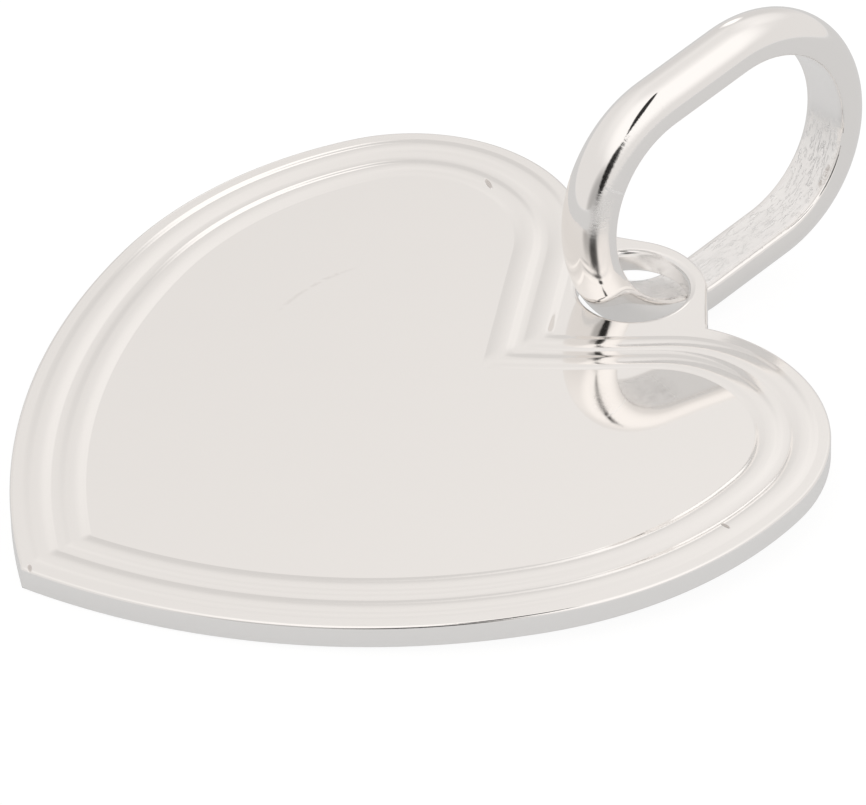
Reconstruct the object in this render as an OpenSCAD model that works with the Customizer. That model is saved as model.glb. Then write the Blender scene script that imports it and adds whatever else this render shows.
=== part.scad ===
// Heart pendant: a flat heart tag with a stepped border and a soldered eye,
// and a loose oval bail ring through the eye. It lies face up on its own ring.
// Millimetres, +Z up, tip of the heart towards -Y.

/* [Heart plate] */
// Thickness of the sheet
plate_t = 0.55; // [0.45:0.05:0.6]
// Radius of each lobe
lobe_r = 3.95; // [3.8:0.05:4.1]
// Lobe centre, sideways from the middle line
lobe_x = 4.3; // [4.2:0.05:4.5]
// Lobe centre, up from the tip
lobe_y = 13.05; // [12.8:0.05:13.3]
// Radius of the side below the lobe
side_r = 9.3; // [8.8:0.1:9.8]
// Angle at which the lobe turns into the side
side_angle = 17.5; // [15:0.5:20]
// Radius of the flank that runs down to the tip
flank_r = 14.75; // [14.5:0.05:16]
// Height of the notch above the tip
notch_y = 14.3; // [14:0.1:14.6]

/* [Stepped border] */
// Width of the outer band, down to the first step
band_1 = 0.7; // [0.5:0.05:0.9]
// Width of the second band
band_2 = 0.75; // [0.5:0.05:0.9]
// Drop of each step
step_drop = 0.05; // [0.03:0.01:0.1]

/* [Eye] */
// Radius of the soldered eye
eye_r = 1.8; // [1.75:0.05:1.9]
// Centre of the eye above the tip
eye_y = 15.75; // [15.6:0.05:15.9]
// Diameter of the hole
hole_d = 2.44; // [2.4:0.01:2.46]
// Centre of the hole above the tip
hole_y = 15.98; // [15.97:0.01:15.99]
// Direction that the webs between eye and lobes face
web_angle = 53; // [51:1:55]

/* [Bail ring] */
// Length of the opening
opening_l = 6.6; // [6.55:0.05:6.9]
// Width of the opening
opening_w = 4.5; // [4.5:0.05:4.6]
// Diameter of the wire before its inner side was flattened
wire_d = 1.3; // [1.2:0.02:1.3]
// Thickness of the wire, flat to outer crown
wire_t = 0.88; // [0.84:0.01:0.9]

/* [How it lies] */
// Centre of the ring, sideways from the middle line of the heart
ring_x = -0.48; // [-0.52:0.02:-0.46]
// Centre of the ring above the tip, along the plate
ring_y = 18.53; // [18.5:0.01:18.55]
// Centre of the ring above the face of the plate
ring_z = 1.73; // [1.71:0.01:1.75]
// Slope of the ring's long axis against the plate
ring_slope = 10; // [9.5:0.5:10.5]
// Lean of the ring to the left, against the plate's normal
ring_lean = 6; // [5.5:0.5:6.5]
// Turn of the ring about the plate's normal
ring_turn = 4; // [3.5:0.5:4.5]
// Rise of the plate from its tip to the ring beneath its eye
rise = 3.33; // [3.2:0.01:3.5]
// Lean of the plate onto its right flank
lean = 1.49; // [1.2:0.01:1.8]

/* [Hidden] */
$fn = 96;
reach = 60;

// Outline of the heart: lobe, side and flank arcs, nearly tangent, each piece lapping the next by a hair
lap = 0.01;
lobe_c = [lobe_x, lobe_y];
side_c = lobe_c - (side_r - lobe_r + lap) * [cos(side_angle), sin(side_angle)];
side_d = norm(side_c);
tip_along = (flank_r * flank_r - pow(flank_r - side_r + lap, 2) + side_d * side_d) / (2 * side_d);
tip_across = sqrt(flank_r * flank_r - tip_along * tip_along);
side_u = side_c / side_d;
flank_c = [tip_along * side_u.x - tip_across * side_u.y, tip_along * side_u.y + tip_across * side_u.x];
join_v = side_c - flank_c;
join_angle = atan2(join_v.y, join_v.x);

// Straight shoulders from the lobes down to the notch
to_notch = [0, notch_y] - lobe_c;
shoulder_angle = atan2(to_notch.y, to_notch.x) - acos((lobe_r - lap) / norm(to_notch));
function shoulder_end(inset) = lobe_c + (lobe_r - lap - inset) * [cos(shoulder_angle), sin(shoulder_angle)];
function past_notch(inset) = [-1, notch_y - inset / sin(shoulder_angle) + 1 / tan(shoulder_angle)];

// Straight edge of a web, from the eye into the lobe
web_out = [cos(web_angle), sin(web_angle)];
web_start = [0, eye_y] + (eye_r - lap) * web_out;
web_end = web_start + ((lobe_c - web_start) * [web_out.y, -web_out.x]) * [web_out.y, -web_out.x];

// Round ends of the ring's opening, straight sides between them
end_r = opening_w / 2;
straight = opening_l - opening_w;
flat_x = wire_d / 2 - wire_t;

module tip_side_of(point, angle) {
    translate(point) rotate(angle) translate([-reach, -reach]) square([2 * reach, reach]);
}

// Right half of the heart, drawn in by inset all round
module half_heart(inset) {
    intersection() {
        translate([0, -1]) square([reach, reach]);
        union() {
            translate(lobe_c) circle(r = lobe_r - inset);
            polygon([[-1, lobe_y - 4], [lobe_x, lobe_y - 1.5], lobe_c, shoulder_end(inset), past_notch(inset)]);
            intersection() {
                translate(side_c) circle(r = side_r - inset);
                tip_side_of(side_c, side_angle);
            }
            intersection() {
                translate(flank_c) circle(r = flank_r - inset);
                tip_side_of(side_c, join_angle);
            }
        }
    }
}

module heart(inset) {
    half_heart(inset);
    mirror([1, 0]) half_heart(inset);
}

// Corner between eye and lobe, filled
module web() {
    polygon([[0, eye_y], web_start, web_end, lobe_c]);
}

// Round wire with its inner side flattened, at a distance from the arc's centre
module wire_section(inner_r) {
    intersection() {
        translate([inner_r - flat_x, 0]) circle(d = wire_d);
        translate([inner_r, -wire_d]) square(2 * wire_d);
    }
}

module oval_ring() {
    for (turn = [0, 180]) rotate(turn) {
        translate([straight / 2, 0]) rotate(-90) rotate_extrude(angle = 180) wire_section(end_r);
        translate([-straight / 2, 0]) rotate([90, 0, 90]) linear_extrude(straight) wire_section(end_r);
    }
}

// From the heart's own place, tip at the origin and face level at z = 0, to the lying pose
function about_x(v, a) = [v.x, v.y * cos(a) - v.z * sin(a), v.y * sin(a) + v.z * cos(a)];
function about_y(v, a) = [v.x * cos(a) + v.z * sin(a), v.y, v.z * cos(a) - v.x * sin(a)];
function about_z(v, a) = [v.x * cos(a) - v.y * sin(a), v.x * sin(a) + v.y * cos(a), v.z];
function laid(v) = about_x(about_y(v, lean), rise);
function ring_turned(v) = about_z(about_y(about_x(v, ring_slope), -ring_lean), ring_turn);

// Ends of the whole object in the lying pose, for the middle of its footprint and its lowest point
ring_long = laid(ring_turned([0, 1, 0]));
ring_wide = laid(ring_turned([0, 0, 1]));
ring_c = laid([ring_x, ring_y, ring_z + plate_t]);
function ring_reach(long, wide) = straight / 2 * abs(long) + (end_r - flat_x) * norm([long, wide]) + wire_d / 2;
half_width = side_c.x + side_r;
right = laid([half_width, 0, plate_t]).x;
left = laid([-half_width, 0, 0]).x;
near = laid([0, 0, plate_t]).y;
far = ring_c.y + ring_reach(ring_long.y, ring_wide.y);
lowest = min(0, ring_c.z - ring_reach(ring_long.z, ring_wide.z));

module lying() {
    translate([-(right + left) / 2, -(near + far) / 2, -lowest])
        rotate([rise, 0, 0]) rotate([0, lean, 0]) translate([0, 0, plate_t]) children();
}

module heart_plate() {
    color("silver") lying() difference() {
        union() {
            translate([0, 0, -plate_t]) linear_extrude(plate_t) {
                heart(0);
                web();
                mirror([1, 0]) web();
            }
            translate([0, eye_y, -plate_t]) cylinder(r = eye_r, h = plate_t);
        }
        translate([0, hole_y, -2 * plate_t]) cylinder(d = hole_d, h = 3 * plate_t);
        translate([0, 0, -step_drop]) linear_extrude(plate_t) heart(band_1);
        translate([0, 0, -2 * step_drop]) linear_extrude(plate_t) heart(band_1 + band_2);
    }
}

module bail_ring() {
    color("gainsboro") lying() translate([ring_x, ring_y, ring_z])
        rotate([ring_slope, -ring_lean, ring_turn]) rotate([90, 0, 90]) oval_ring();
}

heart_plate();
bail_ring();
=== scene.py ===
# Heart pendant lying on its bail ring: polished silver, plain panel, beaded border
import math
import bmesh
import bpy
from mathutils import Matrix, Vector


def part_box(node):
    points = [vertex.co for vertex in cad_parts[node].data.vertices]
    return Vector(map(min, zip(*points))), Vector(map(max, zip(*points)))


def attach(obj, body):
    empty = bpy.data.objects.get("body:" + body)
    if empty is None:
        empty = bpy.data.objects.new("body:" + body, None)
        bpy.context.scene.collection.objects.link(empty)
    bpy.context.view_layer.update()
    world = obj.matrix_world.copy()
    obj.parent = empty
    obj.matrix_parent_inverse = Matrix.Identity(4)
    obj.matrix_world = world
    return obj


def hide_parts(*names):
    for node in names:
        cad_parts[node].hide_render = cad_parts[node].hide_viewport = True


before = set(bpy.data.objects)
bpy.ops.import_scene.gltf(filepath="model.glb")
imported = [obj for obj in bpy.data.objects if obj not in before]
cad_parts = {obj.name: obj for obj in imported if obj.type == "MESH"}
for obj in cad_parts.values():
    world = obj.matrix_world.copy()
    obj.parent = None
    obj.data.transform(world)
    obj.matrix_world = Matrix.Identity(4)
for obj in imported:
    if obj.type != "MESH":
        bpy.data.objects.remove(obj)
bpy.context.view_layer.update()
print("frame loaded")

mm = 0.001
onLine = 1e-6       # mm, a point this near a line or plane counts as on it
weldGap = 1e-4      # mm, points nearer than this are merged

# How the pendant lies: the tip end of the plate is down, the ring holds the other end up
lying = {
    "rise": 3.33,        # degrees, tip to eye
    "lean": 1.49,        # degrees, onto the right flank
    "sheet": 0.55,       # mm, the plate's thickness
}


def lyingMatrix():
    rise = Matrix.Rotation(math.radians(lying["rise"]), 4, "X")
    turn = rise @ Matrix.Rotation(math.radians(lying["lean"]), 4, "Y")
    toFace = Vector((0, 0, lying["sheet"]))
    low = Vector(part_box("heart_plate")[0]) / mm
    tip = turn @ toFace
    place = Vector((-tip.x / 2, low.y - tip.y, low.z))
    return Matrix.Scale(mm, 4) @ Matrix.Translation(place) @ turn @ Matrix.Translation(toFace)


plateToWorld = lyingMatrix()


def finishPiece(bm, name, node, material):
    bmesh.ops.transform(bm, matrix=plateToWorld, verts=bm.verts)
    bmesh.ops.recalc_face_normals(bm, faces=bm.faces)
    for face in bm.faces:
        face.smooth = True
    mesh = bpy.data.meshes.new(name)
    bm.to_mesh(mesh)
    bm.free()
    piece = bpy.data.objects.new(name, mesh)
    bpy.context.scene.collection.objects.link(piece)
    mesh.materials.append(material)
    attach(piece, "root")
    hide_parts(node)
    return piece


# Node maths: a socket that can be added, multiplied and passed on to other nodes
class Shade:
    def __init__(self, socket):
        self.socket = socket

    def node(self, kind, settings, inputs, output=0):
        tree = self.socket.id_data
        made = tree.nodes.new(kind)
        for name, value in settings.items():
            setattr(made, name, value)
        for key, value in inputs.items():
            if isinstance(value, Shade):
                tree.links.new(value.socket, made.inputs[key])
            else:
                made.inputs[key].default_value = value
        return Shade(made.outputs[output])

    def math(self, operation, first, second=0):
        return self.node("ShaderNodeMath", {"operation": operation}, {0: first, 1: second})

    def __add__(self, other):
        return self.math("ADD", self, other)

    __radd__ = __add__

    def __sub__(self, other):
        return self.math("SUBTRACT", self, other)

    def __rsub__(self, other):
        return self.math("SUBTRACT", other, self)

    def __mul__(self, other):
        return self.math("MULTIPLY", self, other)

    __rmul__ = __mul__

    def __truediv__(self, other):
        return self.math("DIVIDE", self, other)

    def __abs__(self):
        return self.math("ABSOLUTE", self)


def smooth(value, low, high):
    # 0 at low, 1 at high, eased at both ends
    return value.node("ShaderNodeMapRange", {"interpolation_type": "SMOOTHSTEP"},
                      {"Value": value, "From Min": low, "From Max": high})


def between(value, low, lowFull, highFull, high):
    # 1 from lowFull to highFull, 0 below low and above high
    return smooth(value, low, lowFull) * (1 - smooth(value, highFull, high))


def dot(vector, other):
    return vector.node("ShaderNodeVectorMath", {"operation": "DOT_PRODUCT"}, {0: vector, 1: other}, "Value")


def distanceTo(vector, point):
    return vector.node("ShaderNodeVectorMath", {"operation": "DISTANCE"}, {0: vector, 1: point}, "Value")


def noiseOf(vector, scale, detail=2, roughness=0.5, stretch=(1, 1, 1)):
    stretched = vector.node("ShaderNodeVectorMath", {"operation": "MULTIPLY"}, {0: vector, 1: stretch})
    inputs = {"Vector": stretched, "Scale": scale, "Detail": detail, "Roughness": roughness}
    return stretched.node("ShaderNodeTexNoise", {}, inputs, "Fac")


def axisOf(vector, name):
    return vector.node("ShaderNodeSeparateXYZ", {}, {0: vector}, name)


def blend(factor, first, second):
    return factor.node("ShaderNodeMix", {"data_type": "RGBA"}, {0: factor, 6: first, 7: second}, 2)


# Heart plate: three arcs a side, millimetres in the plate's own frame, face level at 0
heart = {
    "lobeRadius": 3.95, "lobeX": 4.3, "lobeY": 13.05,
    "sideRadius": 9.3, "sideAngle": 17.5,
    "flankRadius": 14.75,
    "notchY": 14.3,
    "steps": {"flank": 96, "side": 60, "lobe": 64, "shoulder": 8, "eye": 24},
}
eye = {"radius": 1.8, "y": 15.75, "holeRadius": 1.22, "holeY": 15.98, "webTurn": 53, "steps": 96}
border = {
    "beads": (0.27, 1.01),  # insets at which the two beads start
    "rise": (0.2, 0.036),   # width and height of a bead's soft outer side
    "crest": 0.1,           # width of its top
    "fall": (0.3, 0.04),    # width and depth of its inner side
    "fallPower": 2.4,       # how much steeper the inner side grows towards its foot
    "foot": 0.012,          # width of the sharp foot
    "cornerSlide": (0.345, -0.347, 0),  # from the notch to the struck corner, down the left shoulder
    "slideReach": 4.8,      # how far from the corner the lines still bend towards it
    "hair": 0.0005,         # least fall from one loop to the next, so that no two share a plane
    "steps": (5, 8),        # loops across the outer and the inner side
}
edges = {
    "top": 0.07, "bottom": 0.05, "hole": 0.14,  # widths of the rounding
    "segments": 4,
    "level": 0.999999, "upright": 0.001,        # a flat face's normal, and a wall's, along the axis
}


def outlineGeometry():
    lobe = Vector((heart["lobeX"], heart["lobeY"], 0))
    sideTurn = math.radians(heart["sideAngle"])
    sideWay = Vector((math.cos(sideTurn), math.sin(sideTurn), 0))
    side = lobe - (heart["sideRadius"] - heart["lobeRadius"]) * sideWay
    reach, gap = heart["flankRadius"], heart["flankRadius"] - heart["sideRadius"]
    along = (reach ** 2 - gap ** 2 + side.length_squared) / (2 * side.length)
    across = math.sqrt(reach ** 2 - along ** 2)
    unit = side.normalized()
    flank = along * unit + across * Vector((-unit.y, unit.x, 0))
    joinTurn = math.atan2(side.y - flank.y, side.x - flank.x)
    toNotch = Vector((0, heart["notchY"], 0)) - lobe
    shoulderTurn = math.atan2(toNotch.y, toNotch.x) - math.acos(heart["lobeRadius"] / toNotch.length)
    return lobe, side, flank, sideTurn, joinTurn, shoulderTurn


def arcOn(bm, last, centre, turn, part):
    made = bmesh.ops.spin(bm, geom=[last], cent=centre, axis=(0, 0, 1), angle=turn,
                          steps=heart["steps"][part])
    return [item for item in made["geom_last"] if isinstance(item, bmesh.types.BMVert)][0]


def straightOn(bm, last, end):
    made = bm.edges.new((last, bm.verts.new(end)))
    bmesh.ops.subdivide_edges(bm, edges=[made], cuts=heart["steps"]["shoulder"])


def heartHalf(bm, inset, throughEye=False):
    lobe, side, flank, sideTurn, joinTurn, shoulderTurn = outlineGeometry()
    flankRadius, lobeRadius = heart["flankRadius"] - inset, heart["lobeRadius"] - inset
    tipTurn = -math.acos(-flank.x / flankRadius)
    last = bm.verts.new((0, flank.y + flankRadius * math.sin(tipTurn), 0))
    last = arcOn(bm, last, flank, joinTurn - tipTurn, "flank")
    last = arcOn(bm, last, side, sideTurn - joinTurn, "side")
    if throughEye:
        # The web runs straight from the lobe to the eye, whose round side it just touches
        webTurn = math.radians(eye["webTurn"])
        centre, outward = Vector((0, eye["y"], 0)), Vector((math.cos(webTurn), math.sin(webTurn), 0))
        downward = Vector((outward.y, -outward.x, 0))
        touch = centre + eye["radius"] * outward
        foot = touch + (lobe - touch).dot(downward) * downward
        corner = foot - math.sqrt(lobeRadius ** 2 - (lobe - foot).length_squared) * downward
        cornerTurn = math.atan2(corner.y - lobe.y, corner.x - lobe.x)
        last = arcOn(bm, last, lobe, cornerTurn - sideTurn, "lobe")
        straightOn(bm, last, touch)
        last = min(bm.verts, key=lambda v: (v.co - touch).length)
        last = arcOn(bm, last, centre, math.pi / 2 - webTurn, "eye")
        last.co.x = 0
    else:
        last = arcOn(bm, last, lobe, shoulderTurn - sideTurn, "lobe")
        straightOn(bm, last, (0, heart["notchY"] - inset / math.sin(shoulderTurn), 0))


def loopEdges(bm, tag, number):
    return [e for e in bm.edges if all(v[tag] == number for v in e.verts)]


def addHeart(bm, tag, drawn, number, inset, level, throughEye=False):
    heartHalf(bm, inset, throughEye)
    half = [v for v in bm.verts if v[tag] == 0]
    geometry = half + [e for e in bm.edges if all(v[tag] == 0 for v in e.verts)]
    copy = bmesh.ops.duplicate(bm, geom=geometry)
    copied = [item for item in copy["geom"] if isinstance(item, bmesh.types.BMVert)]
    bmesh.ops.scale(bm, vec=(-1, 1, 1), verts=copied)
    middle = [v for v in half + copied if abs(v.co.x) < onLine]
    bmesh.ops.remove_doubles(bm, verts=middle, dist=weldGap)
    loop = [v for v in bm.verts if v[tag] == 0]
    bmesh.ops.translate(bm, vec=(0, 0, level), verts=loop)
    for v in loop:
        v[tag] = number
        v[drawn] = inset
    if not throughEye:
        corner = Vector((0, heart["notchY"] - inset / math.sin(outlineGeometry()[-1]), level))
        for v in loop:
            near = max(0, 1 - (v.co - corner).length / border["slideReach"])
            v.co += near * near * (3 - 2 * near) * Vector(border["cornerSlide"])


def addHole(bm, tag, number):
    made = bmesh.ops.create_circle(bm, cap_ends=False, radius=eye["holeRadius"], segments=eye["steps"])
    bmesh.ops.translate(bm, vec=(0, eye["holeY"], 0), verts=made["verts"])
    for v in made["verts"]:
        v[tag] = number


def borderProfile():
    # Insets and levels across the two beads, each with a soft outer side and a sharp foot
    rows, level = [], 0
    riseSteps, fallSteps = border["steps"]
    riseWidth, riseHeight = border["rise"]
    fallWidth, fallDepth = border["fall"]
    for start in border["beads"]:
        for step in range(riseSteps + 1):
            part = step / riseSteps
            rows.append((start + riseWidth * part, level + riseHeight * (1 - math.cos(math.pi * part)) / 2))
        brow = start + riseWidth + border["crest"]
        for step in range(fallSteps + 1):
            part = step / fallSteps
            fall = border["hair"] + fallDepth * part ** border["fallPower"]
            rows.append((brow + fallWidth * part, level + riseHeight - fall))
        level += riseHeight - fallDepth - 2 * border["hair"]
        rows.append((brow + fallWidth + border["foot"], level))
        level -= border["hair"]
    return rows


def keepFlats(bm):
    # Flat faces and upright walls keep their own shading beside the rounded edges
    bm.normal_update()
    for e in bm.edges:
        heights = [abs(f.normal.z) for f in e.link_faces]
        kinds = [(height > edges["level"], height < edges["upright"]) for height in heights]
        e.smooth = kinds[0] == kinds[-1]


def makeHeartPlate(material):
    bm = bmesh.new()
    tag = bm.verts.layers.int.new("loop")
    drawn = bm.verts.layers.float.new("inset")
    rows = borderProfile()
    addHeart(bm, tag, drawn, 1, 0, 0, throughEye=True)
    addHole(bm, tag, 2)
    for number, (inset, level) in enumerate(rows, start=3):
        addHeart(bm, tag, drawn, number, inset, level)
    outer, hole, crest = (loopEdges(bm, tag, number) for number in (1, 2, 3))
    for number in range(3, 2 + len(rows)):
        bmesh.ops.bridge_loops(bm, edges=loopEdges(bm, tag, number) + loopEdges(bm, tag, number + 1))
    bmesh.ops.contextual_create(bm, geom=loopEdges(bm, tag, 2 + len(rows)))
    bmesh.ops.triangle_fill(bm, use_beauty=True, use_dissolve=False, edges=outer + crest + hole,
                            normal=(0, 0, 1))
    # Walls of the outline and of the hole, then the back
    wallEdges = []
    for loop in (outer, hole):
        made = bmesh.ops.extrude_edge_only(bm, edges=loop)["geom"]
        lower = [item for item in made if isinstance(item, bmesh.types.BMVert)]
        bmesh.ops.translate(bm, vec=(0, 0, -lying["sheet"]), verts=lower)
        wallEdges.append([e for e in made if isinstance(e, bmesh.types.BMEdge)
                          and all(v in lower for v in e.verts)])
    bmesh.ops.triangle_fill(bm, use_beauty=True, use_dissolve=False, edges=wallEdges[0] + wallEdges[1],
                            normal=(0, 0, -1))
    # Rounded edges
    for loop, size in ((outer, edges["top"]), (wallEdges[0], edges["bottom"]),
                       (hole, edges["hole"]), (wallEdges[1], edges["bottom"])):
        bmesh.ops.bevel(bm, geom=loop, offset=size, segments=edges["segments"], profile=0.5,
                        affect="EDGES", material=-1)
    keepFlats(bm)
    piece = finishPiece(bm, "heartPlate", "heart_plate", material)
    print("heart plate made", len(piece.data.polygons), "faces")
    return piece


# Bail ring: oval of round wire, flattened on its inner side, place and turns against the plate
ring = {
    "openingLength": 6.6, "openingWidth": 4.5,
    "wire": 1.3, "thickness": 0.88,
    "x": -0.48, "y": 18.53, "z": 1.73,
    "slope": 10, "lean": 6, "turn": 4,
    "sectionSteps": 48, "bendSteps": 72,
    "flatEdge": 0.07, "flatSegments": 3, "flatCuts": 7,     # rounded corners of the flat, and its cuts
    "turnAbout": 1 / 3,     # part of the thickness, from the flat, about which turns are measured
    "onStraight": 1e-5,     # mm past a straight's end that still count as on it
}


def ringMatrix():
    turns = (Matrix.Rotation(math.radians(ring["turn"]), 4, "Z")
             @ Matrix.Rotation(math.radians(-ring["lean"]), 4, "Y")
             @ Matrix.Rotation(math.radians(ring["slope"]), 4, "X"))
    upright = Matrix.Rotation(math.radians(90), 4, "Z") @ Matrix.Rotation(math.radians(90), 4, "X")
    return Matrix.Translation((ring["x"], ring["y"], ring["z"])) @ turns @ upright


def makeBailRing(material):
    bm = bmesh.new()
    endRadius, straight = ring["openingWidth"] / 2, ring["openingLength"] - ring["openingWidth"]
    radius = ring["wire"] / 2
    centre = endRadius - (radius - ring["thickness"])
    # Round section in the XZ plane, cut flat on the inner side
    made = bmesh.ops.create_circle(bm, cap_ends=True, radius=radius, segments=ring["sectionSteps"])
    section = made["verts"]
    bmesh.ops.rotate(bm, cent=(0, 0, 0), matrix=Matrix.Rotation(math.radians(90), 3, "X"), verts=section)
    bmesh.ops.translate(bm, vec=(centre, 0, 0), verts=section)
    bmesh.ops.bisect_plane(bm, geom=bm.verts[:] + bm.edges[:] + bm.faces[:], plane_co=(endRadius, 0, 0),
                           plane_no=(-1, 0, 0), clear_outer=True)
    bmesh.ops.delete(bm, geom=bm.faces[:], context="FACES_ONLY")
    corners = [v for v in bm.verts if abs(v.co.x - endRadius) < onLine]
    bmesh.ops.bevel(bm, geom=corners, offset=ring["flatEdge"], segments=ring["flatSegments"], profile=0.5,
                    affect="VERTICES", material=-1)
    flat = [e for e in bm.edges if all(abs(v.co.x - endRadius) < onLine for v in e.verts)]
    bmesh.ops.subdivide_edges(bm, edges=flat, cuts=ring["flatCuts"])
    bmesh.ops.translate(bm, vec=(0, -straight / 2, 0), verts=bm.verts)
    profile = bm.verts[:] + bm.edges[:]
    for side in (1, -1):
        drawn = [g for g in profile if isinstance(g, bmesh.types.BMEdge)]
        made = bmesh.ops.extrude_edge_only(bm, edges=drawn)
        moved = [g for g in made["geom"] if isinstance(g, bmesh.types.BMVert)]
        bmesh.ops.translate(bm, vec=(0, side * straight, 0), verts=moved)
        profile = moved + [g for g in made["geom"] if isinstance(g, bmesh.types.BMEdge)
                           and all(v in moved for v in g.verts)]
        made = bmesh.ops.spin(bm, geom=profile, cent=(0, side * straight / 2, 0), axis=(0, 0, 1),
                              angle=math.pi, steps=ring["bendSteps"])
        profile = made["geom_last"]
    bmesh.ops.remove_doubles(bm, verts=bm.verts, dist=weldGap)
    # The oval's length lies along local X in the ring's own frame
    bmesh.ops.rotate(bm, cent=(0, 0, 0), matrix=Matrix.Rotation(math.radians(-90), 3, "Z"), verts=bm.verts)
    layWire(bm, endRadius, straight / 2)
    bmesh.ops.transform(bm, matrix=ringMatrix(), verts=bm.verts)
    piece = finishPiece(bm, "bailRing", "bail_ring", material)
    print("bail ring made", len(piece.data.polygons), "faces")
    return piece


def layWire(bm, endRadius, half):
    # UV map: millimetres along the wire, and the turn round its section from the middle of the flat
    middle = endRadius + ring["thickness"] / 2
    length = 4 * half + 2 * math.pi * middle
    wire = bm.loops.layers.uv.new("wire")

    def placeOf(co):
        near = max(-half, min(half, co.x))
        out = Vector((co.x - near, co.y))
        turn = math.atan2(out.x, out.y)
        if abs(out.x) < ring["onStraight"]:
            along = near % length if co.y > 0 else 2 * half + math.pi * middle - near
        else:
            along = half + middle * turn if out.x > 0 else 3 * half + middle * (2 * math.pi + turn)
        inwards = ring["thickness"] * ring["turnAbout"] - (out.length - endRadius)
        return [along, math.atan2(co.z, inwards)]

    for face in bm.faces:
        places = [placeOf(loop.vert.co) for loop in face.loops]
        for axis, whole in ((0, length), (1, 2 * math.pi)):
            top = max(place[axis] for place in places)
            for place in places:
                if top - place[axis] > whole / 2:
                    place[axis] += whole
        for loop, place in zip(face.loops, places):
            loop[wire].uv = place


# Silver finishes: the plate is a mirror inside a border polished along its length
plateFinish = {
    "colour": (0.945, 0.925, 0.905, 1), "dull": (0.985, 0.975, 0.965, 1), "stain": (0.5, 0.45, 0.42, 1),
    "panel": 0.035, "border": 0.095, "wall": 0.2, "worn": 0.3,
    "panelEdge": (1.59, 1.63),      # insets between which border turns to panel
    "wallEdge": (-0.06, -0.008),    # heights between which the rounded edge turns to wall
    "wallInset": (0.02, 0.2),       # insets past which no low place counts as wall
    "backEdge": (-0.548, -0.53),    # heights between which back turns to wall
    "dulling": 0.8,                 # how much of the dull colour the wall takes
    "wave": {"height": 0.003, "scale": 0.45},           # mm, slow waves of the panel
    "speckle": {"height": 0.0004, "scale": 22},         # mm, fine grain of the border
    "lines": {                      # polishing lines that run round the border
        "middle": 9.5, "around": 14, "across": 9, "detail": 3, "roughness": 0.6,
        "height": 0.0009, "dullness": 0.06,
    },
    "backLines": {                  # rubbed lines of the back
        "scale": 4, "stretch": (0.4, 6, 1), "detail": 3, "roughness": 0.6,
        "height": 0.002, "dullness": 0.08,
    },
    "scratch": {                    # arc in the left half of the panel, broken by a noise
        "centre": (-0.385, 10.854, 0), "radius": 3.865, "width": 0.09,
        "span": (9.2, 9.8, 11.1, 11.7), "left": (-3, -2),
        "breakScale": 5, "breakDetail": 3, "breaks": (0.35, 0.6),
        "depth": 0.0007, "stain": 0.15,
    },
    "pitDepth": 0.02, "pitEdge": (0.3, 1.1),
    "pits": (
        {"at": (-4.84, 15.63, 0), "turn": -16, "long": 0.21, "wide": 0.06, "depth": 0.6},
        {"at": (7.78, 12.53, 0), "turn": 8, "long": 0.14, "wide": 0.045, "depth": 0.7},
        {"at": (0.1, 0.16, 0), "turn": -30, "long": 0.13, "wide": 0.05, "depth": 0.6},
    ),
}


def newSilver(name, colour):
    material = bpy.data.materials.new(name)
    material.use_nodes = True
    shader = material.node_tree.nodes["Principled BSDF"]
    shader.inputs["Metallic"].default_value = 1
    shader.inputs["Base Color"].default_value = colour
    return material, shader


def plug(shader, name, value):
    shader.id_data.links.new(value.socket, shader.inputs[name])


def raised(height):
    # Normal from a height in millimetres
    return height.node("ShaderNodeBump", {}, {"Strength": 1, "Distance": mm, "Height": height})


def pitOf(place, pit):
    turn = math.radians(pit["turn"])
    at, along = Vector(pit["at"]), Vector((math.cos(turn), math.sin(turn), 0))
    across = Vector((-along.y, along.x, 0))
    alongPart = (dot(place, along) - at.dot(along)) / pit["long"]
    acrossPart = (dot(place, across) - at.dot(across)) / pit["wide"]
    return 1 - smooth(alongPart * alongPart + acrossPart * acrossPart, *plateFinish["pitEdge"])


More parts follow.
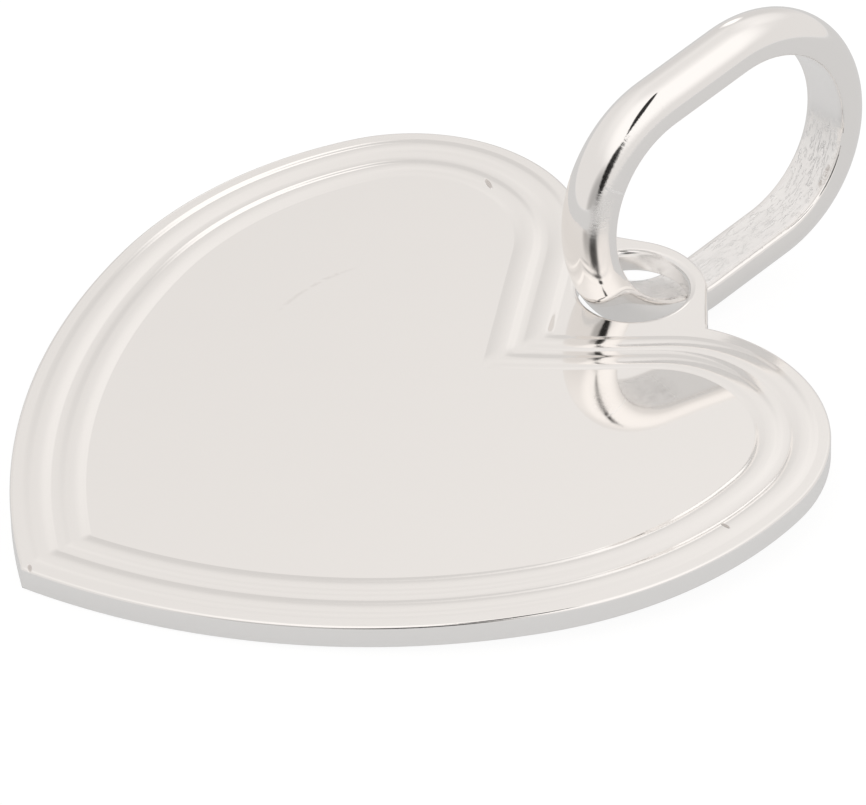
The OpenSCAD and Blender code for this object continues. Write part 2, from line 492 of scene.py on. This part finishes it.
def makePlateSilver():
    finish = plateFinish
    material, shader = newSilver("plateSilver", finish["colour"])
    world = Shade(material.node_tree.nodes.new("ShaderNodeTexCoord").outputs["Object"])
    origin, turn, scale = plateToWorld.decompose()
    place = world.node("ShaderNodeMapping", {"vector_type": "TEXTURE"},
                       {"Vector": world, "Location": origin, "Rotation": turn.to_euler(), "Scale": scale})
    inset = world.node("ShaderNodeAttribute", {"attribute_name": "inset"}, {}, "Fac")
    x, y, z = (axisOf(place, name) for name in "XYZ")
    panel = smooth(inset, *finish["panelEdge"])
    wall = (1 - smooth(z, *finish["wallEdge"])) * (1 - smooth(inset, *finish["wallInset"]))
    back = 1 - smooth(z, *finish["backEdge"])
    # Lines that run round the border, and along the back
    line, backLine = finish["lines"], finish["backLines"]
    around = x.math("ARCTAN2", x, y - line["middle"]) * line["around"]
    across = line["across"]
    track = world.node("ShaderNodeCombineXYZ", {}, {"X": around, "Y": inset * across, "Z": z * across})
    lines = noiseOf(track, 1, line["detail"], line["roughness"])
    rubbed = noiseOf(place, backLine["scale"], backLine["detail"], backLine["roughness"],
                     backLine["stretch"])
    # Marks
    scratch = finish["scratch"]
    off = abs(distanceTo(place, scratch["centre"]) - scratch["radius"])
    mark = (1 - smooth(off, 0, scratch["width"])) * between(y, *scratch["span"])
    mark = mark * (1 - smooth(x, *scratch["left"])) * panel
    mark = mark * smooth(noiseOf(place, scratch["breakScale"], scratch["breakDetail"]), *scratch["breaks"])
    pits = [pitOf(place, pit) * (1 - wall) * pit["depth"] for pit in finish["pits"]]
    pitted = pits[0] + pits[1] + pits[2]
    stain = pitted + mark * scratch["stain"]
    dulled = blend(wall * finish["dulling"], finish["colour"], finish["dull"])
    plug(shader, "Base Color", blend(stain, dulled, finish["stain"]))
    rough = finish["border"] + (lines - 0.5) * line["dullness"]
    rough = rough * (1 - panel) + panel * finish["panel"]
    rough = rough * (1 - wall) + wall * (finish["wall"] + (rubbed - 0.5) * backLine["dullness"] * back)
    plug(shader, "Roughness", rough + stain * finish["worn"])
    wave, speckle = finish["wave"], finish["speckle"]
    height = noiseOf(place, wave["scale"], 1) * wave["height"]
    grain = noiseOf(place, speckle["scale"]) * speckle["height"]
    height = height + (1 - panel) * (lines * line["height"] + grain)
    height = height + back * rubbed * backLine["height"]
    height = height - pitted * finish["pitDepth"] - mark * scratch["depth"]
    plug(shader, "Normal", raised(height))
    return material


# The ring is smooth and bright outside and rough on its inner flat
ringFinish = {
    "colour": (0.95, 0.93, 0.912, 1), "flatColour": (0.985, 0.972, 0.962, 1),
    # The first colour on the next line is a painted glint for the flat's dashes, and is also the seam
    # line's lighter colour
    "glintAndSeamWhite": (1, 0.995, 0.985, 1), "grime": (0.55, 0.51, 0.48, 1),
    "round": 0.05, "flat": 0.3, "smoothFlat": 0.45,     # roughness, and the smoother flat's part of it
    "radianWidth": 0.6,             # mm round the section in one radian
    "flatEdge": (0.96, 1.12),       # radians, where flat turns to round
    "corner": (0.85, 1, 1.1, 1.3),  # radians, the flat's worn corners
    "roughSpan": (5.9, 6.6, 20, 20.8),      # mm along the wire, outside it the flat is smoother
    "wave": {"height": 0.0035, "scale": 0.7, "stretch": (1, 1.6, 1)},
    # dashes: raised ridges on the flat, also painted in a lighter glint colour
    "dash": {"height": 0.011, "stretch": (3.2, 13, 1), "detail": 3, "roughness": 0.6, "edge": (0.52, 0.64)},
    "grain": {"height": 0.0022, "scale": 14, "detail": 3, "roughness": 0.65},
    "jag": {"height": 0.01, "stretch": (5, 3, 1)},
    "filed": {                      # cross-filed stretch beside the seam
        "span": (16.4, 17, 19.8, 20.4), "turn": (0.9, 1.2, 2.15, 2.45),
        "stretch": (16, 5, 1), "detail": 3, "roughness": 0.65, "height": 0.004, "dullness": 0.16,
    },
    "soft": {                       # duller stretch below the seam
        "span": (15.3, 16.1, 17.55, 17.75), "turn": (1.2, 1.8, 2.25, 2.5), "dullness": 0.14,
    },
    "seam": {                       # bright line where the wire's ends meet
        "along": 17.8, "middle": 1.8, "slant": 0.05, "width": 0.05,
        "turn": (1, 1.1, 2, 2.15), "dullness": 0.35,
    },
    "smudge": {                     # dark mark on the flat's corner, in the bend
        "span": (7.2, 7.5, 7.8, 8.1), "turn": 1.0, "edge": (0.02, 0.09), "breaks": (0.4, 0.55),
    },
    "grimeEdge": (0.62, 0.75), "grimePart": 0.4, "grimeDepth": 0.8,
}


def makeRingSilver():
    finish = ringFinish
    material, shader = newSilver("ringSilver", finish["colour"])
    world = Shade(material.node_tree.nodes.new("ShaderNodeTexCoord").outputs["UV"])
    along, turn = axisOf(world, "X"), axisOf(world, "Y")
    turn = turn - 2 * math.pi * turn.math("GREATER_THAN", turn, math.pi)
    side = abs(turn)
    flat = 1 - smooth(side, *finish["flatEdge"])
    corner = between(side, *finish["corner"])
    rough = between(along, *finish["roughSpan"])
    # Wire place in millimetres: along, round the section
    wire = world.node("ShaderNodeCombineXYZ", {}, {"X": along, "Y": turn * finish["radianWidth"], "Z": 0})
    dash, fine, jag, wave = (finish[name] for name in ("dash", "grain", "jag", "wave"))
    dashes = noiseOf(wire, 1, dash["detail"], dash["roughness"], dash["stretch"])
    dashes = smooth(dashes, *dash["edge"])
    grain = noiseOf(wire, fine["scale"], fine["detail"], fine["roughness"])
    jags = noiseOf(wire, 1, stretch=jag["stretch"])
    filing = finish["filed"]
    filed = noiseOf(wire, 1, filing["detail"], filing["roughness"], filing["stretch"])
    filed = filed * between(along, *filing["span"]) * between(turn, *filing["turn"])
    soft = finish["soft"]
    softened = between(along, *soft["span"]) * between(turn, *soft["turn"])
    # Seam and marks
    seam = finish["seam"]
    off = abs(along - seam["along"] - (turn - seam["middle"]) * seam["slant"])
    seamLine = (1 - smooth(off, 0, seam["width"])) * between(turn, *seam["turn"])
    smudge = finish["smudge"]
    stain = between(along, *smudge["span"]) * (1 - smooth(abs(turn - smudge["turn"]), *smudge["edge"]))
    stain = stain * smooth(grain, *smudge["breaks"])
    grime = corner * smooth(grain, *finish["grimeEdge"]) * rough * finish["grimePart"] + stain
    colour = blend(flat, finish["colour"], finish["flatColour"])
    # Painted glints: the flat's dashes take the lighter colour, and the seam line takes the same lighter
    # colour
    colour = blend(flat * rough * dashes + seamLine, colour, finish["glintAndSeamWhite"])
    plug(shader, "Base Color", blend(grime * finish["grimeDepth"], colour, finish["grime"]))
    smoothPart = finish["smoothFlat"]
    roughness = flat * (finish["flat"] - finish["round"]) * (smoothPart + (1 - smoothPart) * rough)
    roughness = finish["round"] + roughness + filed * filing["dullness"]
    roughness = roughness + softened * soft["dullness"] + seamLine * seam["dullness"]
    plug(shader, "Roughness", roughness)
    height = noiseOf(wire, wave["scale"], 1, stretch=wave["stretch"]) * wave["height"]
    height = height + flat * rough * (dashes * dash["height"] + grain * fine["height"])
    height = height + corner * rough * jags * jag["height"] + filed * filing["height"]
    plug(shader, "Normal", raised(height))
    return material


makeHeartPlate(makePlateSilver())
makeBailRing(makeRingSilver())

# Camera, from the plate's frame
camera = {
    "azimuth": 54.91, "elevation": 38.42, "roll": -1.31,    # degrees, azimuth from the tip's side
    "distance": 170.8, "target": (0.693, 10.107, 0),        # mm
    "pixels": 8000, "frameWidth": 866,      # focal length and picture width in pixels
    "sensor": 36, "nearClip": 0.001,
}


def makeCamera():
    turn, rise, roll = (math.radians(camera[key]) for key in ("azimuth", "elevation", "roll"))
    back = Vector((math.sin(turn) * math.cos(rise), -math.cos(turn) * math.cos(rise), math.sin(rise)))
    right = Vector((math.cos(turn), math.sin(turn), 0))
    up = back.cross(right)
    right, up = (right * math.cos(roll) + up * math.sin(roll), up * math.cos(roll) - right * math.sin(roll))
    at = Vector(camera["target"]) + camera["distance"] * back
    local = Matrix((right, up, back)).transposed().to_4x4()
    local.translation = at
    world = plateToWorld @ local
    lens = bpy.data.cameras.new("camera")
    lens.sensor_width = camera["sensor"]
    lens.lens = camera["pixels"] / camera["frameWidth"] * lens.sensor_width
    lens.clip_start = camera["nearClip"]
    eyePoint = bpy.data.objects.new("camera", lens)
    place, turned, _ = world.decompose()
    eyePoint.matrix_world = Matrix.LocRotScale(place, turned, None)
    bpy.context.scene.collection.objects.link(eyePoint)
    bpy.context.scene.camera = eyePoint


makeCamera()
print("camera placed")

# Floor: paper lit through from below, white to the eye, pale grey where the silver mirrors it
paper = {
    "size": 3,
    "shown": {"grey": 0.16, "glow": 0.89},
    "mirrored": {"grey": 0.25, "glow": 0.45},
    "distant": {"from": 0.03, "to": 0.5, "gain": 0.11},     # metres, towards the tent's own tone
}


def paperOf(seen, grey, glowColour, strength):
    lit = seen.node("ShaderNodeBsdfDiffuse", {}, {"Color": (grey, grey, grey, 1)})
    glowing = seen.node("ShaderNodeEmission", {}, {"Color": glowColour, "Strength": strength})
    return seen.node("ShaderNodeAddShader", {}, {0: lit, 1: glowing})


def makeFloor():
    bm = bmesh.new()
    bmesh.ops.create_grid(bm, x_segments=1, y_segments=1, size=paper["size"])
    mesh = bpy.data.meshes.new("floor")
    bm.to_mesh(mesh)
    bm.free()
    floor = bpy.data.objects.new("floor", mesh)
    bpy.context.scene.collection.objects.link(floor)
    material = bpy.data.materials.new("floorPaper")
    material.use_nodes = True
    tree = material.node_tree
    tree.nodes.remove(tree.nodes["Principled BSDF"])
    seen = Shade(tree.nodes.new("ShaderNodeLightPath").outputs["Is Camera Ray"])
    place = Shade(tree.nodes.new("ShaderNodeTexCoord").outputs["Object"])
    distant, glow = paper["distant"], paper["mirrored"]["glow"]
    level = smooth(distanceTo(place, (0, 0, 0)), distant["from"], distant["to"]) * distant["gain"] + glow
    levelColour = seen.node("ShaderNodeCombineXYZ", {}, {"X": level, "Y": level, "Z": level})
    shown = paperOf(seen, paper["shown"]["grey"], (1, 1, 1, 1), paper["shown"]["glow"])
    mirrored = paperOf(seen, paper["mirrored"]["grey"], levelColour, 1)
    surface = seen.node("ShaderNodeMixShader", {}, {0: seen, 1: mirrored, 2: shown})
    tree.links.new(surface.socket, tree.nodes["Material Output"].inputs["Surface"])
    mesh.materials.append(material)


makeFloor()
print("floor laid")

# Studio: a soft tent, brighter overhead, with one big soft light, a white card and the dark gaps between
studio = {
    "low": 0.775, "high": 0.91, "from": 0.5, "to": 0.98,
    "tint": (1.025, 1, 0.98),
    "backdrop": 1,
    "lamp": {"azimuth": 95, "elevation": 62, "inner": 22, "outer": 50, "level": 1.04},
    "farLight": {"azimuth": -28, "elevation": 44, "inner": 6, "outer": 25, "level": 0.09},
    "farShade": {"azimuth": -58, "elevation": 12, "inner": 10, "outer": 32, "level": -0.085},
    "farVeil": {"azimuth": -50, "elevation": 67, "inner": 5, "outer": 25, "level": -0.08},
    "nearShade": {"azimuth": 137, "elevation": 8, "inner": 4, "outer": 27, "level": 0.45},
    "card": {"start": (-61, 33), "end": (-65, 12), "width": 6.5, "soft": 3},
    "cardLevel": 1.12,
    "gaps": (
        {"start": (114, 45), "end": (10, 80), "width": 5.5, "soft": 1.5},
        {"start": (114, 41), "end": (126, 2), "width": 15, "soft": 5},
    ),
    "gapDepth": 0.97,
    "facing": (0.4, 0.5),   # cosines between which a strip's far side is cut off
}


def towards(azimuth, elevation):
    turn, rise = math.radians(azimuth), math.radians(elevation)
    return Vector((math.cos(rise) * math.sin(turn), math.cos(rise) * math.cos(turn), math.sin(rise)))


def spotOf(direction, light):
    facing = dot(direction, towards(light["azimuth"], light["elevation"]))
    return smooth(facing, math.cos(math.radians(light["outer"])), math.cos(math.radians(light["inner"])))


def gapOf(direction, gap):
    start, end = towards(*gap["start"]), towards(*gap["end"])
    across, middle = start.cross(end).normalized(), (start + end).normalized()
    half = start.angle(end) / 2
    part = dot(direction, across.cross(middle)) / math.sin(half)
    taper = direction.math("SQRT", direction.math("MAXIMUM", 1 - part * part, 0))
    edge = taper * math.radians(gap["width"]) - abs(dot(direction, across))
    inside = edge.node("ShaderNodeClamp", {}, {"Value": edge / math.radians(gap["soft"])})
    return inside * smooth(dot(direction, middle), *studio["facing"])


def makeStudio():
    world = bpy.data.worlds.new("studio")
    world.use_nodes = True
    tree = world.node_tree
    direction = Shade(tree.nodes.new("ShaderNodeTexCoord").outputs["Generated"])
    overhead = smooth(axisOf(direction, "Z"), studio["from"], studio["to"])
    level = studio["low"] + (studio["high"] - studio["low"]) * overhead
    light = spotOf(direction, studio["lamp"])
    level = level * (1 - light) + light * studio["lamp"]["level"]
    for name in ("farLight", "farShade", "farVeil"):
        level = level + spotOf(direction, studio[name]) * studio[name]["level"]
    level = level * (1 - spotOf(direction, studio["nearShade"]) * studio["nearShade"]["level"])
    card = gapOf(direction, studio["card"])
    level = level * (1 - card) + card * studio["cardLevel"]
    for gap in studio["gaps"]:
        level = level * (1 - gapOf(direction, gap) * studio["gapDepth"])
    tinted = {0: studio["tint"], "Scale": level}
    colour = level.node("ShaderNodeVectorMath", {"operation": "SCALE"}, tinted)
    seen = Shade(tree.nodes.new("ShaderNodeLightPath").outputs["Is Camera Ray"])
    shown = blend(seen, colour, (studio["backdrop"],) * 3 + (1,))
    tree.links.new(shown.socket, tree.nodes["Background"].inputs["Color"])
    bpy.context.scene.world = world
    bpy.context.scene.view_settings.view_transform = "Standard"
    print("studio made")


makeStudio()
